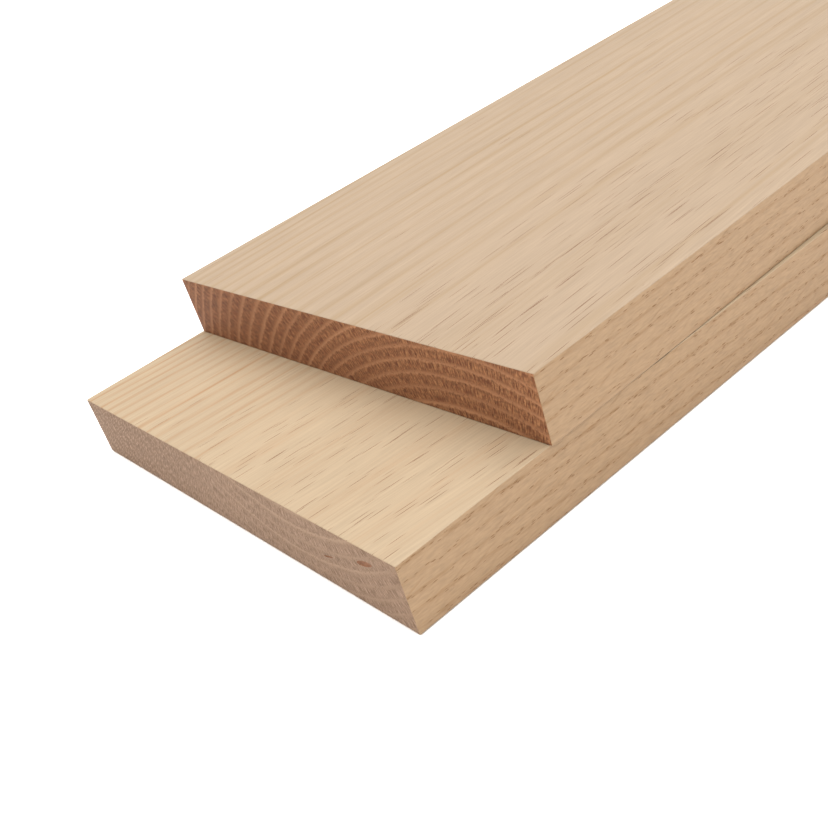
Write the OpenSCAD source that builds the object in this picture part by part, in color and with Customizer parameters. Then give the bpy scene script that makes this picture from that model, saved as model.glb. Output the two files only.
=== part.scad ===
// Door threshold strips: two loose boards of solid oak, one laid on the other.
// Millimetres. X runs along the strips with the front end at -X, Y runs across
// them with the right edge at -Y, and Z is up. The origin is the centre of the
// lower strip's underside. Nothing holds the upper strip but its own weight.

/* [Strips] */
// Length of the lower strip, between its square-cut ends
lower_length = 914.4; // [300:0.1:2000]
// Length of the upper strip, between its square-cut ends
upper_length = 914.4; // [300:0.1:2000]
// Width of each strip, from long edge to long edge
strip_width = 152.4; // [60:0.1:300]
// Thickness of each strip
strip_thickness = 19.05; // [10:0.05:50]
// Chamfer that takes the sharpness off each long arris
arris_ease = 0.4; // [0.1:0.1:3]

/* [Lay] */
// Distance from the lower strip's front end back to the upper strip's front right corner
set_back = 46.5; // [0:0.1:150]
// How far the upper strip's front right corner stands out past the lower strip's right edge
corner_overhang = 0.9; // [0:0.1:20]
// Turn of the upper strip about that corner, in degrees, its far end going to the left
lay_angle = 1.23; // [0:0.01:3]

/* [Hidden] */
front_end = -lower_length / 2;
right_edge = -strip_width / 2;

// Cross-section of a strip, its right edge on x = 0 and its underside on y = 0
module strip_section() {
    polygon([
        [arris_ease, 0],
        [strip_width - arris_ease, 0],
        [strip_width, arris_ease],
        [strip_width, strip_thickness - arris_ease],
        [strip_width - arris_ease, strip_thickness],
        [arris_ease, strip_thickness],
        [0, strip_thickness - arris_ease],
        [0, arris_ease]
    ]);
}

// One strip, running along +X from its front right bottom corner
module strip(length) {
    rotate([90, 0, 90])
        linear_extrude(height = length)
            strip_section();
}

// Lower strip, bedded on the floor
module lower_strip() {
    color("#d3b58e")
        translate([front_end, right_edge, 0])
            strip(lower_length);
}

// Upper strip, lying on the lower one, set back and a little askew
module upper_strip() {
    color("#dcc3a0")
        translate([front_end + set_back, right_edge - corner_overhang, strip_thickness])
            rotate([0, 0, lay_angle])
                strip(upper_length);
}

lower_strip();
upper_strip();
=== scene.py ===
import math
import random

import bpy
from mathutils import Matrix, Quaternion, Vector


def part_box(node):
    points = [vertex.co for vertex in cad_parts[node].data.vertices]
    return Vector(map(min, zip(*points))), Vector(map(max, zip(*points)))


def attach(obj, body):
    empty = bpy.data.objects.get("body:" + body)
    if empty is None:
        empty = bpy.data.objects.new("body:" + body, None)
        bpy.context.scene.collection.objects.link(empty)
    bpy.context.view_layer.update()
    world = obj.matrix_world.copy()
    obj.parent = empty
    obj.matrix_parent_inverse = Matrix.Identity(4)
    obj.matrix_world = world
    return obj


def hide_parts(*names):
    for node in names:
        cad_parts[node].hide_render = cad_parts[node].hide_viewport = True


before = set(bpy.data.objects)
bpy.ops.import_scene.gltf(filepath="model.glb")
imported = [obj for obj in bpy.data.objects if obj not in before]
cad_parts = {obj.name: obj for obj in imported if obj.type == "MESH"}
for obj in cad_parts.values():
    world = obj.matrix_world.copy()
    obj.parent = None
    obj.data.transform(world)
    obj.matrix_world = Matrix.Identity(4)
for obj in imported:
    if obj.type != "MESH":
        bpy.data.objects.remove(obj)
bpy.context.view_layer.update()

mm = 0.001  # metres in a millimetre


def hexToLinear(hexColour):
    channels = [int(hexColour[i:i + 2], 16) / 255 for i in (1, 3, 5)]
    return [c / 12.92 if c <= 0.04045 else ((c + 0.055) / 1.055) ** 2.4 for c in channels] + [1.0]


# adds one shader node and gives its output; an input is a number, a vector or another node's output
def addNode(tree, kind, inputs, output=0, **settings):
    node = tree.nodes.new("ShaderNode" + kind)
    for name, value in settings.items():
        setattr(node, name, value)
    for socket, value in inputs.items():
        if isinstance(value, bpy.types.NodeSocket):
            tree.links.new(value, node.inputs[socket])
        else:
            node.inputs[socket].default_value = value
    return node.outputs[output]


# scale that makes a pattern of unit cells this long and this wide, in mm along and across the grain
def grainScale(long, wide):
    return (1 / long, 1 / wide, 1 / wide)


# where a strip lies, read from its CAD node: front right bottom corner, size and turn
def readPlace(nodeName):
    points = [v.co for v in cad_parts[nodeName].data.vertices]
    low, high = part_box(nodeName)
    frontRight = max(points, key=lambda p: -p.x - p.y)
    frontLeft = max(points, key=lambda p: p.y - p.x)
    farRight = max(points, key=lambda p: p.x - p.y)
    along = farRight - frontRight
    return {
        "corner": Vector((frontRight.x, frontRight.y, low.z)),
        "length": math.hypot(along.x, along.y),
        "width": math.hypot(frontLeft.x - frontRight.x, frontLeft.y - frontRight.y),
        "thickness": high.z - low.z,
        "turn": math.atan2(along.y, along.x),
    }


places = {name: readPlace(name) for name in ("lower_strip", "upper_strip")}
print("strip lengths in mm:", {n: round(p["length"] / mm, 2) for n, p in places.items()})


# Red oak is ring porous: each year starts with a row of open vessels and ends in dense
# wood, and broad rays run out from the pith. One log's frame, with x along its pith,
# gives the rings, vessels and rays of every face of a board cut from it.

lowerLog = {
    "pith": (41.0, 80.0),  # mm in from the board's right edge, and up from its underside
    "grainTurn": (0.0, 0.35, 4.5),  # degrees between the pith and the board's length
    "ringWidth": 3.9,  # mm, on average
    "leanAt": 80.0, "leanEvery": 40.0,  # mm out from the pith to lean years, and on to the next ones
    "leanSwing": 0.2,  # years that the rings run early or late because of them
    "ringShift": 0.2,  # years, to put the rings in their place
    "raysPerRadian": 280.0,  # 3 or 4 to the mm; real oak's thin rays are finer and wouldn't show
}
upperLog = {
    "pith": (27.0, -73.0),
    "grainTurn": (0.0, -0.3, -2.4),
    "ringWidth": 4.0,
    "leanAt": 99.0, "leanEvery": 57.0,
    "leanSwing": 0.39,
    "ringShift": 0.39,
    "raysPerRadian": 230.0,
}

# What every cut of both logs shares. Sizes are (mm along the grain, mm across it), edges
# are the values of a noise or cell pattern between which a mark comes in.
grain = {
    "wanderSize": (170.0, 34.0), "wanderBy": 2.6,  # slow bends of the fibres, and mm from side to side
    "blotchSize": (150.0, 22.0), "blotchDepth": 0.10,  # a touch darker here and lighter there
    "fray": 0.3,  # share of a year by which single fibres blur a ring's edge
    "leanVigour": 0.6,  # strength of the early wood in the weakest year
    "uprightVessels": 0.05,  # share of the vessels that shows where the rings stand up
    "lateVessels": 0.4,  # vessels in late wood for each one in early wood
    "poreEdge": (0.24, 0.36), "streakEdge": (0.35, 0.68), "rayEdge": (0.40, 0.62),
    "baseShade": 0.95,  # what the colours are multiplied by before speckle and blotches
    "earlySmooth": 0.6,  # share of the speckle that early wood lacks
    "fibreRelief": 0.25,  # height of the fibres, against 1 for the depth of a vessel
    "vesselDull": 0.2,  # roughness that a vessel adds
    "gloss": 0.35,  # bare wood is duller than the shader's default of 0.5
}

# A finish is one kind of cut through a log: the colours of its late wood, early wood and
# vessels, then its patterns. Pairs named Show are strengths, first where the rings stand up
# and then where they lie flat. A vessel fills about 0.6 of its cell in vesselSize, which is
# 0.15 to 0.2 mm across on planed cuts and 0.35 mm on sawn ends; red oak has 0.2 to 0.4 mm.
# Real fibres are about 0.02 mm across, too fine to show, so fibreSize draws them as tufts
# half a millimetre wide or more, and grit is their contrast.

# Planed oak, flat-sawn face: pale straw, soft bands of early and late wood, and
# hair-thin brown grooves where the plane has cut vessels open along their length.
lowerFace = {
    "late": "#9e8c73", "early": "#8d6843", "vessel": "#5c3310",
    "ringSoft": 0.6, "ringShow": (1.0, 0.3), "streakSize": (34.0, 0.9),
    "vesselSize": (11.0, 0.25), "vesselShare": 0.24, "vesselDepth": 0.95,
    "flatFrom": 0.74, "flatTo": 0.86,  # 1 is rings lying flat; vessels come in between these two
    "fibreSize": (14.0, 0.5), "grit": 0.42,
    "groove": 0.012, "roughness": 0.52,  # mm of relief
}
upperFace = {
    "late": "#96846f", "early": "#87704f", "vessel": "#5c3310",
    "ringSoft": 0.7, "ringShow": (1.0, 0.5), "streakSize": (110.0, 1.3),
    "vesselSize": (22.0, 0.27), "vesselShare": 0.38, "vesselDepth": 0.9,
    "flatFrom": 0.92, "flatTo": 0.985,
    "fibreSize": (14.0, 0.5), "grit": 0.42,
    "groove": 0.012, "roughness": 0.52,
}
# Planed oak, long edge: closer to quarter-sawn, so a shade browner, with rows of
# short open vessels in every ring and slanting ray flecks across them.
planedEdge = {
    "late": "#987e60", "early": "#81613d", "vessel": "#67401c", "fleckColour": "#816343",
    "ringSoft": 0.25, "ringShow": (0.8, 0.8), "streakSize": (7.0, 0.7),
    "vesselSize": (2.8, 0.32), "vesselShare": 0.9, "vesselDepth": 0.7,
    "flatFrom": 0.7, "flatTo": 0.95,
    "fleck": 0.4, "fleckEdge": (0.60, 0.76),
    "fleckSlant": 15.0, "fleckSize": (13.0, 30.0, 1.2),  # degrees, and mm along, in and up
    "fibreSize": (3.0, 0.5), "grit": 0.5,
    "groove": 0.03, "roughness": 0.55,
}
# Sawn oak, end grain: the cut drinks light, so it is far browner; pale lines are the vessel
# rows, packed with dust, and fine stripes between them are the rays.
sawnEndUpper = {
    "late": "#683d24", "early": "#a87956", "vessel": "#482915", "rayColour": "#956845",
    "ringSoft": 0.4, "ringShow": (0.8, 1.0),
    "vesselSize": (6.0, 0.6), "vesselShare": 0.7, "vesselDepth": 0.4,
    "flatFrom": 0.7, "flatTo": 0.95,
    "rayShow": (0.6, 1.0), "rayLength": 2.6,  # mm out from the pith
    "fibreSize": (14.0, 0.85), "grit": 1.5,
    "groove": 0.05, "roughness": 0.75,
}
sawnEndLower = {
    "late": "#705742", "early": "#9a816a", "vessel": "#543c26", "rayColour": "#977d68",
    "ringSoft": 0.3, "ringShow": (0.1, 0.85),
    "vesselSize": (6.0, 0.6), "vesselShare": 0.6, "vesselDepth": 0.4,
    "flatFrom": 0.7, "flatTo": 0.95,
    "rayShow": (0.8, 0.9), "rayLength": 2.6,
    "fibreSize": (14.0, 0.6), "grit": 0.65,
    "groove": 0.05, "roughness": 0.75,
}


# object coordinates, first into the strip's own frame in mm, then into the log's, where
# the fibres wander slowly: a millimetre or so over a hand's length
def findWood(tree, place, log):
    unturn = Matrix.Rotation(-place["turn"], 3, "Z")
    objectPoint = addNode(tree, "TexCoord", {}, output="Object")
    inStrip = addNode(tree, "Mapping", {
        "Vector": objectPoint,
        "Location": -(unturn @ place["corner"]) / mm,
        "Rotation": (0, 0, -place["turn"]),
        "Scale": (1 / mm, 1 / mm, 1 / mm)})
    inLog = addNode(tree, "Mapping", {
        "Vector": inStrip,
        "Location": (0, -log["pith"][0], -log["pith"][1]),
        "Rotation": [math.radians(a) for a in log["grainTurn"]]})
    wanderScale = grainScale(*grain["wanderSize"])
    slow = addNode(tree, "VectorMath", {0: inLog, 1: wanderScale}, operation="MULTIPLY")
    wander = addNode(tree, "TexNoise", {"Vector": slow, "Scale": 1, "Detail": 2.5}, output="Color")
    wander = addNode(tree, "VectorMath", {0: wander, 1: (0.5, 0.5, 0.5)}, operation="SUBTRACT")
    sway = (0, grain["wanderBy"], grain["wanderBy"])
    waved = addNode(tree, "VectorMath", {0: wander, 1: sway, 2: inLog}, operation="MULTIPLY_ADD")
    return inStrip, inLog, waved


# rings: years out from the pith, some fat and some lean, a year's fraction running from
# spring to winter, and some years' early wood stronger than others'
def growRings(tree, radius, fineNoise, log, softness):
    swing = addNode(tree, "Math", {0: radius, 1: log["leanAt"]}, operation="SUBTRACT")
    swing = addNode(tree, "Math", {0: swing, 1: math.tau / log["leanEvery"]}, operation="MULTIPLY")
    swing = addNode(tree, "Math", {0: swing}, operation="SINE")
    swing = addNode(tree, "Math", {0: swing, 1: log["leanSwing"], 2: log["ringShift"]},
                    operation="MULTIPLY_ADD")
    perMm = 1 / log["ringWidth"]
    years = addNode(tree, "Math", {0: radius, 1: perMm, 2: swing}, operation="MULTIPLY_ADD")
    frayed = addNode(tree, "Math", {0: fineNoise, 1: grain["fray"], 2: years}, operation="MULTIPLY_ADD")
    season = addNode(tree, "Math", {0: frayed}, operation="FRACT")
    springDone = 0.06 + 0.35 * softness  # shares of a year, later where rings are soft
    summerFrom = 0.18
    summerDone = 0.32 + 0.60 * softness
    rise = addNode(tree, "MapRange", {"Value": season, "From Min": 0.0, "From Max": springDone},
                   interpolation_type="SMOOTHSTEP")
    fall = addNode(tree, "MapRange", {"Value": season, "From Min": summerFrom, "From Max": summerDone,
                                      "To Min": 1.0, "To Max": 0.0}, interpolation_type="SMOOTHSTEP")
    early = addNode(tree, "Math", {0: rise, 1: fall}, operation="MULTIPLY")
    year = addNode(tree, "Math", {0: frayed}, operation="FLOOR")
    vigour = addNode(tree, "TexWhiteNoise", {"W": year}, noise_dimensions="1D")
    lean = grain["leanVigour"]
    vigour = addNode(tree, "Math", {0: vigour, 1: 1 - lean, 2: lean}, operation="MULTIPLY_ADD")
    return addNode(tree, "Math", {0: early, 1: vigour}, operation="MULTIPLY")


# vessels: one long thin pore to a cell of a stretched cell pattern, most in early wood
def openVessels(tree, waved, early, flat, finish):
    vesselScale = grainScale(*finish["vesselSize"])
    vesselPoint = addNode(tree, "VectorMath", {0: waved, 1: vesselScale}, operation="MULTIPLY")
    pore = addNode(tree, "TexVoronoi", {"Vector": vesselPoint, "Scale": 1, "Randomness": 1.0},
                   output="Distance")
    lot = addNode(tree, "SeparateColor", {0: pore.node.outputs["Color"]}, output="Green")
    if "fleck" in finish:  # on the edges the rows keep to the early wood alone
        share = early
    else:
        few, late = grain["uprightVessels"], grain["lateVessels"]
        share = addNode(tree, "Math", {0: flat, 1: 1 - few, 2: few}, operation="MULTIPLY_ADD")
        rich = addNode(tree, "Math", {0: early, 1: 1 - late, 2: late}, operation="MULTIPLY_ADD")
        share = addNode(tree, "Math", {0: share, 1: rich}, operation="MULTIPLY")
    share = addNode(tree, "Math", {0: share, 1: finish["vesselShare"]}, operation="MULTIPLY")
    drawn = addNode(tree, "Math", {0: lot, 1: share}, operation="LESS_THAN")
    inside, outside = grain["poreEdge"]
    vessels = addNode(tree, "MapRange", {"Value": pore, "From Min": inside, "From Max": outside,
                                         "To Min": 1.0, "To Max": 0.0})
    return addNode(tree, "Math", {0: vessels, 1: drawn}, operation="MULTIPLY")


# rays on a sawn end: a pattern in the angle round the pith, which early wood breaks
def drawRays(tree, wood, waved, radius, early, flat, log, finish):
    sides = addNode(tree, "SeparateXYZ", {0: waved}, output="Y")
    heights = addNode(tree, "SeparateXYZ", {0: waved}, output="Z")
    angle = addNode(tree, "Math", {0: heights, 1: sides}, operation="ARCTAN2")
    fan = addNode(tree, "Math", {0: angle, 1: log["raysPerRadian"]}, operation="MULTIPLY")
    outward = addNode(tree, "Math", {0: radius, 1: 1 / finish["rayLength"]}, operation="MULTIPLY")
    rayPoint = addNode(tree, "CombineXYZ", {0: fan, 1: outward, 2: 0.0})
    rayNoise = addNode(tree, "TexNoise", {"Vector": rayPoint, "Scale": 1, "Detail": 1.5})
    gone, full = grain["rayEdge"]
    rays = addNode(tree, "MapRange", {"Value": rayNoise, "From Min": gone, "From Max": full})
    between = addNode(tree, "Math", {0: early, 1: -1.0, 2: 1.0}, operation="MULTIPLY_ADD")
    upright, lying = finish["rayShow"]
    clear = addNode(tree, "MapRange", {"Value": flat, "To Min": upright, "To Max": lying})
    amount = addNode(tree, "Math", {0: rays, 1: between}, operation="MULTIPLY")
    amount = addNode(tree, "Math", {0: amount, 1: clear}, operation="MULTIPLY")
    return addNode(tree, "Mix", {0: amount, 6: wood, 7: hexToLinear(finish["rayColour"])},
                   output=2, data_type="RGBA")


# ray flecks on a long edge climb across it at a slant
def drawFlecks(tree, wood, inStrip, finish):
    slant = math.radians(finish["fleckSlant"])
    slanted = addNode(tree, "Mapping", {"Vector": inStrip, "Rotation": (0, slant, 0)})
    perMm = [1 / side for side in finish["fleckSize"]]
    slanted = addNode(tree, "VectorMath", {0: slanted, 1: perMm}, operation="MULTIPLY")
    fleckNoise = addNode(tree, "TexNoise", {"Vector": slanted, "Scale": 1, "Detail": 1.5})
    gone, full = finish["fleckEdge"]
    flecks = addNode(tree, "MapRange", {"Value": fleckNoise, "From Min": gone, "From Max": full,
                                        "To Max": finish["fleck"]})
    return addNode(tree, "Mix", {0: flecks, 6: wood, 7: hexToLinear(finish["fleckColour"])},
                   output=2, data_type="RGBA")


def makeOak(name, place, log, finish):
    material = bpy.data.materials.new(name)
    material.use_nodes = True
    tree = material.node_tree
    shader = tree.nodes["Principled BSDF"]
    inStrip, inLog, waved = findWood(tree, place, log)

    # tufts of fibres and pores, and how far the wood lies from the pith
    fibreScale = grainScale(*finish["fibreSize"])
    fine = addNode(tree, "VectorMath", {0: waved, 1: fibreScale}, operation="MULTIPLY")
    fineNoise = addNode(tree, "TexNoise", {"Vector": fine, "Scale": 1, "Detail": 2})
    across = addNode(tree, "VectorMath", {0: waved, 1: (0, 1, 1)}, operation="MULTIPLY")
    radius = addNode(tree, "VectorMath", {0: across}, output="Value", operation="LENGTH")
    early = growRings(tree, radius, fineNoise, log, finish["ringSoft"])

    # how flat the rings lie: 1 straight above or below the pith
    heights = addNode(tree, "SeparateXYZ", {0: waved}, output="Z")
    flatness = addNode(tree, "Math", {0: heights, 1: radius}, operation="DIVIDE")
    flatness = addNode(tree, "Math", {0: flatness}, operation="ABSOLUTE")
    flat = addNode(tree, "MapRange", {"Value": flatness, "From Min": finish["flatFrom"],
                                      "From Max": finish["flatTo"]})
    vessels = openVessels(tree, waved, early, flat, finish)

    # colour: early into late wood, then rays or flecks, blotches, and the vessels over all
    upright, lying = finish["ringShow"]
    keep = addNode(tree, "MapRange", {"Value": flat, "To Min": upright, "To Max": lying})
    tint = addNode(tree, "Math", {0: early, 1: keep}, operation="MULTIPLY")
    if "streakSize" in finish:  # along the grain a ring breaks up into streaks
        streakScale = grainScale(*finish["streakSize"])
        streakPoint = addNode(tree, "VectorMath", {0: waved, 1: streakScale}, operation="MULTIPLY")
        streakNoise = addNode(tree, "TexNoise", {"Vector": streakPoint, "Scale": 1, "Detail": 2})
        gone, full = grain["streakEdge"]
        streaks = addNode(tree, "MapRange", {"Value": streakNoise, "From Min": gone, "From Max": full})
        tint = addNode(tree, "Math", {0: tint, 1: streaks}, operation="MULTIPLY")
    lateColour, earlyColour = hexToLinear(finish["late"]), hexToLinear(finish["early"])
    wood = addNode(tree, "Mix", {0: tint, 6: lateColour, 7: earlyColour}, output=2, data_type="RGBA")
    if "rayShow" in finish:
        wood = drawRays(tree, wood, waved, radius, early, flat, log, finish)
    if "fleck" in finish:
        wood = drawFlecks(tree, wood, inStrip, finish)
    blotchScale = grainScale(*grain["blotchSize"])
    broad = addNode(tree, "VectorMath", {0: inLog, 1: blotchScale}, operation="MULTIPLY")
    broadNoise = addNode(tree, "TexNoise", {"Vector": broad, "Scale": 1, "Detail": 1})
    speckle = addNode(tree, "Math", {0: fineNoise, 1: 0.5}, operation="SUBTRACT")
    smooth = -grain["earlySmooth"] * finish["grit"]
    rough = addNode(tree, "Math", {0: early, 1: smooth, 2: finish["grit"]}, operation="MULTIPLY_ADD")
    shade = addNode(tree, "Math", {0: speckle, 1: rough, 2: grain["baseShade"]}, operation="MULTIPLY_ADD")
    shade = addNode(tree, "Math", {0: broadNoise, 1: grain["blotchDepth"], 2: shade},
                    operation="MULTIPLY_ADD")
    wood = addNode(tree, "VectorMath", {0: wood, 3: shade}, operation="SCALE")
    stain = addNode(tree, "Math", {0: vessels, 1: finish["vesselDepth"]}, operation="MULTIPLY")
    wood = addNode(tree, "Mix", {0: stain, 6: wood, 7: hexToLinear(finish["vessel"])},
                   output=2, data_type="RGBA")
    tree.links.new(wood, shader.inputs["Base Color"])

    # the vessels are grooves, and the fibres between them stand a little proud
    relief = addNode(tree, "Math", {0: fineNoise, 1: grain["fibreRelief"]}, operation="MULTIPLY")
    relief = addNode(tree, "Math", {0: relief, 1: vessels}, operation="SUBTRACT")
    bump = addNode(tree, "Bump", {"Height": relief, "Distance": finish["groove"] * mm, "Strength": 1.0})
    tree.links.new(bump, shader.inputs["Normal"])
    dull = addNode(tree, "Math", {0: vessels, 1: grain["vesselDull"], 2: finish["roughness"]},
                   operation="MULTIPLY_ADD")
    tree.links.new(dull, shader.inputs["Roughness"])
    shader.inputs["Specular IOR Level"].default_value = grain["gloss"]
    return material


lowerStrip = {
    "piece": "lower_board", "node": "lower_strip", "body": "lower", "slot": "oak_lower",
    "log": lowerLog, "face": lowerFace, "edge": planedEdge, "end": sawnEndLower,
    "ease": 0.35,  # mm of chamfer that sanding leaves on each arris
    "wear": 0.05,  # mm that the chamfer wanders in
    "chips": 3, "seed": 11,
    "bark": {
        "pockets": (  # on the front end: mm in from the right edge, mm up, then half sizes in mm
            (12.8, 14.3, 3.2, 0.75, 0.35),  # half its length, its height and its depth
            (28.8, 9.5, 2.2, 0.22, 0.25),
        ),
        "slant": 16.0,  # degrees, rising to the right
        "colour": "#80583f", "roughness": 0.9,
        "flakeSize": 0.7, "flakeShade": (0.7, 1.3),  # mm, and darkest and lightest
    },
}
upperStrip = {
    "piece": "upper_board", "node": "upper_strip", "body": "upper", "slot": "oak_upper",
    "log": upperLog, "face": upperFace, "edge": planedEdge, "end": sawnEndUpper,
    "ease": 0.35, "wear": 0.05,
    "chips": 6, "seed": 4,
}
cuts = {
    "frontZone": 170.0,  # mm from the front end that is cut finely, for chips
    "frontCuts": 67, "restCuts": 92,  # cross-cuts in that zone and behind it
    "acrossCuts": 60, "throughCuts": 7,
    "arrisSegments": 3, "arrisProfile": 0.55,
    "wearEvery": 4.0,  # mm from one worn place on an arris to the next
    "chipReach": (2.0, 3.6), "chipDepth": (0.15, 0.35),  # mm round a chip's middle, and mm deep
    "smoothAngle": 25.0,  # degrees
}
hair = 1e-6  # metres: what lies closer than this is in the same place


# selects vertices, edges or faces by a test, and leaves the piece in edit mode
def selectWhere(piece, kind, test):
    bpy.ops.object.mode_set(mode="EDIT")
    bpy.ops.mesh.select_mode(type=kind)
    bpy.ops.mesh.select_all(action="DESELECT")
    bpy.ops.object.mode_set(mode="OBJECT")
    mesh = piece.data
    items = {"VERT": mesh.vertices, "EDGE": mesh.edges, "FACE": mesh.polygons}[kind]
    for item in items:
        item.select = test(item)
    bpy.ops.object.mode_set(mode="EDIT")


# whether an edge runs along one axis (0, 1 or 2 for x, y or z) and lies from low to high on it
def edgeRuns(piece, edge, axis, low, high):
    a, b = (piece.data.vertices[i].co for i in edge.vertices)
    others = [i for i in range(3) if i != axis]
    if any(abs(a[i] - b[i]) > hair for i in others):
        return False
    return low - hair <= min(a[axis], b[axis]) and max(a[axis], b[axis]) <= high + hair


# Bark grown into the wood leaves a dark hollow in the end grain: rough, dull and brown.
def cutBarkPockets(strip, bark):
    material = bpy.data.materials.new(strip.name + "_bark_pocket")
    material.use_nodes = True
    tree = material.node_tree
    shader = tree.nodes["Principled BSDF"]
    objectPoint = addNode(tree, "TexCoord", {}, output="Object")
    flakeScale = 1 / (bark["flakeSize"] * mm)
    flakes = addNode(tree, "TexNoise", {"Vector": objectPoint, "Scale": flakeScale, "Detail": 3})
    darkest, lightest = bark["flakeShade"]
    shade = addNode(tree, "MapRange", {"Value": flakes, "From Min": 0.3, "From Max": 0.7,
                                       "To Min": darkest, "To Max": lightest})
    brown = hexToLinear(bark["colour"])[:3]
    colour = addNode(tree, "VectorMath", {0: brown, 3: shade}, operation="SCALE")
    tree.links.new(colour, shader.inputs["Base Color"])
    shader.inputs["Roughness"].default_value = bark["roughness"]

    # each pocket is a flat lens cut into the end, which keeps the bark's own material
    for inFromEdge, up, halfLong, halfHigh, halfDeep in bark["pockets"]:
        bpy.ops.object.select_all(action="DESELECT")
        bpy.ops.mesh.primitive_uv_sphere_add(segments=32, ring_count=16, radius=1, location=(0, 0, 0))
        cutter = bpy.context.object
        cutter.scale = (halfDeep * mm, halfLong * mm, halfHigh * mm)
        cutter.rotation_euler = (-math.radians(bark["slant"]), 0, 0)
        cutter.location = (0, inFromEdge * mm, up * mm)
        bpy.ops.object.transform_apply(location=True, rotation=True, scale=True)
        cutter.location = strip.location
        cutter.rotation_euler = strip.rotation_euler
        cutter.data.materials.append(material)
        pocket = strip.modifiers.new("bark_pocket", "BOOLEAN")
        pocket.operation = "DIFFERENCE"
        pocket.solver = "EXACT"
        pocket.material_mode = "TRANSFER"
        pocket.object = cutter
        bpy.context.view_layer.objects.active = strip
        bpy.ops.object.modifier_apply(modifier=pocket.name)
        bpy.data.objects.remove(cutter, do_unlink=True)
    print("cut", len(bark["pockets"]), "bark pockets in", strip.name)


def makeStrip(settings, place, cuts):
    size = Vector((place["length"], place["width"], place["thickness"]))
    bpy.ops.object.select_all(action="DESELECT")
    bpy.ops.mesh.primitive_cube_add(size=1, location=size / 2, scale=size)
    strip = bpy.context.object
    strip.name = settings["piece"]
    bpy.ops.object.transform_apply(location=True, rotation=True, scale=True)

    # cross-cuts, close together near the front end, then cuts across and through
    zone = cuts["frontZone"] * mm
    bpy.ops.object.mode_set(mode="EDIT")
    bpy.ops.mesh.select_all(action="SELECT")
    bpy.ops.mesh.bisect(plane_co=(zone, 0, 0), plane_no=(1, 0, 0))
    runs = (
        (0, zone, 0, cuts["frontCuts"]),
        (zone, size.x, 0, cuts["restCuts"]),
        (0, size.y, 1, cuts["acrossCuts"]),
        (0, size.z, 2, cuts["throughCuts"]),
    )
    for low, high, axis, count in runs:
        selectWhere(strip, "EDGE", lambda e: edgeRuns(strip, e, axis, low, high))
        bpy.ops.mesh.subdivide(number_cuts=count)

    # ease every arris, then let the chamfer wander as hand sanding leaves it
    def onArris(point):
        return sum(min(abs(point[i]), abs(size[i] - point[i])) < hair for i in range(3)) >= 2

    selectWhere(strip, "EDGE", lambda e: all(onArris(strip.data.vertices[i].co) for i in e.vertices))
    bpy.ops.mesh.bevel(offset=settings["ease"] * mm, segments=cuts["arrisSegments"],
                       profile=cuts["arrisProfile"], affect="EDGES")
    nearArris = 1.02 * settings["ease"] * mm  # just past the chamfer

    def onChamfer(vertex):
        return sum(min(vertex.co[i], size[i] - vertex.co[i]) < nearArris for i in range(3)) >= 2

    bpy.ops.object.mode_set(mode="OBJECT")
    group = strip.vertex_groups.new(name="arrises")
    group.add([v.index for v in strip.data.vertices if onChamfer(v)], 1.0, "REPLACE")
    clouds = bpy.data.textures.new(strip.name + "_wear", type="CLOUDS")
    clouds.noise_scale = cuts["wearEvery"] * mm
    wear = strip.modifiers.new("wear", "DISPLACE")
    wear.texture = clouds
    wear.vertex_group = group.name
    wear.mid_level = 1.0  # only ever inwards
    wear.strength = settings["wear"] * mm
    bpy.ops.object.modifier_apply(modifier=wear.name)

    # small chips torn out of the top arrises by the plane and, one in three, by the saw
    dice = random.Random(settings["seed"])
    for i in range(settings["chips"]):
        along = dice.uniform(8 * mm, 0.95 * zone)  # clear of the corner and of the coarse cuts
        if i % 3:
            spot = Vector((along, 0, size.z))
            push = Vector((0, 1, -1))
        else:
            spot = Vector((0, dice.uniform(0.1, 0.9) * size.y, size.z))
            push = Vector((1, 0, -1))
        reach = dice.uniform(*cuts["chipReach"]) * mm
        depth = dice.uniform(*cuts["chipDepth"])
        nearest = min(strip.data.vertices, key=lambda v: (v.co - spot).length).index
        selectWhere(strip, "VERT", lambda v: v.index == nearest)
        bpy.ops.transform.translate(value=push * depth * mm, use_proportional_edit=True,
                                    proportional_edit_falloff="SHARP", proportional_size=reach)
    bpy.ops.object.mode_set(mode="OBJECT")

    bpy.ops.object.shade_smooth_by_angle(angle=math.radians(cuts["smoothAngle"]))
    strip.location = place["corner"]
    strip.rotation_euler = (0, 0, place["turn"])

    # a finish for each kind of cut, told apart by which way the mesh's faces point
    finishes = {
        "planed_oak_face": settings["face"],
        "planed_oak_edge": settings["edge"],
        "sawn_oak_end": settings["end"],
    }
    for label, finish in finishes.items():
        strip.data.materials.append(makeOak(strip.name + "_" + label, place, settings["log"], finish))
    slots = {label: i for i, label in enumerate(finishes)}
    for face in strip.data.polygons:
        if abs(face.normal.x) > 0.9:
            face.material_index = slots["sawn_oak_end"]
        elif abs(face.normal.z) > 0.35:  # most of the chamfer matches the face
            face.material_index = slots["planed_oak_face"]
        else:
            face.material_index = slots["planed_oak_edge"]
    if "bark" in settings:
        cutBarkPockets(strip, settings["bark"])

    # placed and applied, so that the finished piece's object sits at the origin
    bpy.ops.object.select_all(action="DESELECT")
    strip.select_set(True)
    bpy.ops.object.transform_apply(location=True, rotation=True, scale=True)
    strip.vertex_groups.clear()
    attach(strip, settings["body"])
    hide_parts(settings["node"])
    print("made", strip.name, "with", len(strip.data.polygons), "faces")


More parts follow.
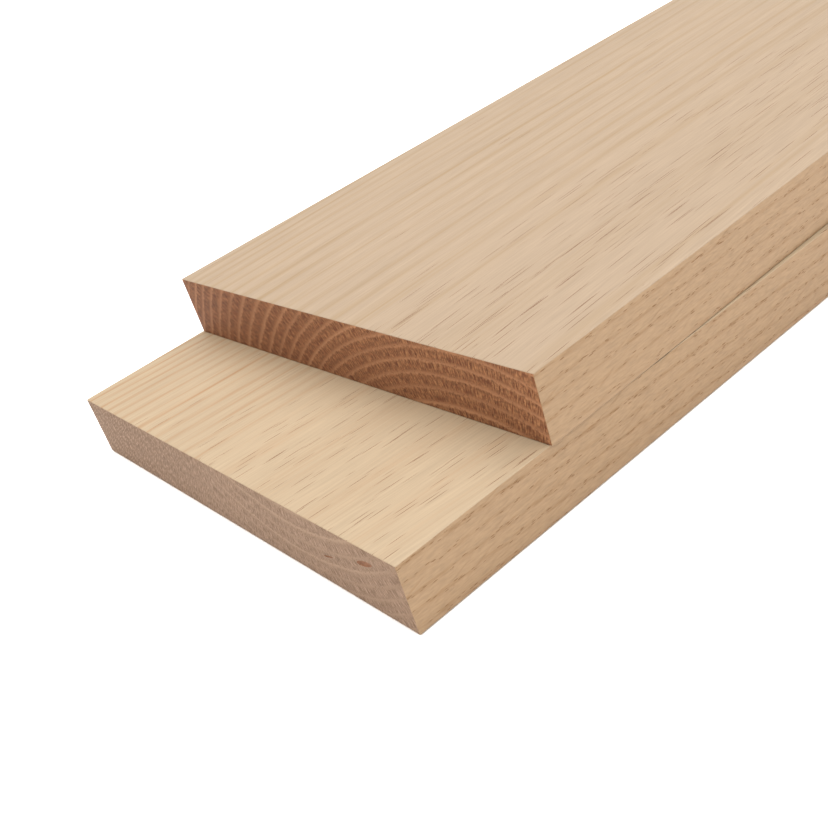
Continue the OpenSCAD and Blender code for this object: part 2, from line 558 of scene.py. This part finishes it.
cameraSettings = {
    "azimuth": -31.34,  # degrees round the strips, 0 looks along +Y
    "elevation": 29.37,
    "roll": 18.55,  # the camera's right side is down
    "lens": 48.67,  # mm on a 36 mm sensor
    "standOff": 237.0,  # mm to the point looked at
    "pastEnd": 22.8,  # mm that point lies in front of the upper strip's front right corner
    "inFromEdge": 13.8,  # mm it lies in from that corner
}


def makeCamera(settings, place):
    corner, top = place["corner"], place["thickness"]
    aim = corner + Vector((-settings["pastEnd"] * mm, settings["inFromEdge"] * mm, top))
    azimuth, elevation = math.radians(settings["azimuth"]), math.radians(settings["elevation"])
    back = Vector((math.sin(azimuth) * math.cos(elevation),
                   -math.cos(azimuth) * math.cos(elevation),
                   math.sin(elevation)))
    bpy.ops.object.camera_add(location=aim + back * settings["standOff"] * mm)
    camera = bpy.context.object
    camera.rotation_mode = "QUATERNION"
    level = (-back).to_track_quat("-Z", "Y")
    camera.rotation_quaternion = level @ Quaternion((0, 0, 1), -math.radians(settings["roll"]))
    camera.data.lens = settings["lens"]
    camera.data.sensor_width = 36.0
    camera.data.clip_start = 0.01
    bpy.context.scene.camera = camera


studio = {
    "floorSize": 30.0, "floorDrop": 0.2,  # metres, and mm below the strips
    "floorColour": "#fafafa", "floorRoughness": 0.9,
    "roomLight": 0.72, "roomColour": "#fff4ea",  # light off the walls comes back a little warm
    "keyLight": 4.6, "keySize": 90.0,  # W/m2, and degrees of sky the softbox covers
    "keyFrom": (0.06, -0.06, 1.0),  # almost straight above
}


def makeStudio(settings):
    level = -settings["floorDrop"] * mm
    bpy.ops.mesh.primitive_plane_add(size=settings["floorSize"], location=(0, 0, level))
    floor = bpy.context.object
    floor.name = "floor"
    paper = bpy.data.materials.new("matt_paper_floor")
    paper.use_nodes = True
    shader = paper.node_tree.nodes["Principled BSDF"]
    shader.inputs["Base Color"].default_value = hexToLinear(settings["floorColour"])
    shader.inputs["Roughness"].default_value = settings["floorRoughness"]
    floor.data.materials.append(paper)

    room = bpy.data.worlds.new("room")
    room.use_nodes = True
    background = room.node_tree.nodes["Background"]
    background.inputs["Color"].default_value = hexToLinear(settings["roomColour"])
    background.inputs["Strength"].default_value = settings["roomLight"]
    bpy.context.scene.world = room

    # a softbox far enough off to light the whole floor evenly
    bpy.ops.object.light_add(type="SUN", location=settings["keyFrom"])
    softbox = bpy.context.object
    softbox.name = "softbox"
    softbox.rotation_euler = Vector(settings["keyFrom"]).to_track_quat("Z", "Y").to_euler()
    softbox.data.energy = settings["keyLight"]
    softbox.data.angle = math.radians(settings["keySize"])
    bpy.context.scene.view_settings.view_transform = "Standard"


makeCamera(cameraSettings, places["upper_strip"])
makeStudio(studio)
print("camera, floor and lights are in place")
makeStrip(lowerStrip, places["lower_strip"], cuts)
makeStrip(upperStrip, places["upper_strip"], cuts)
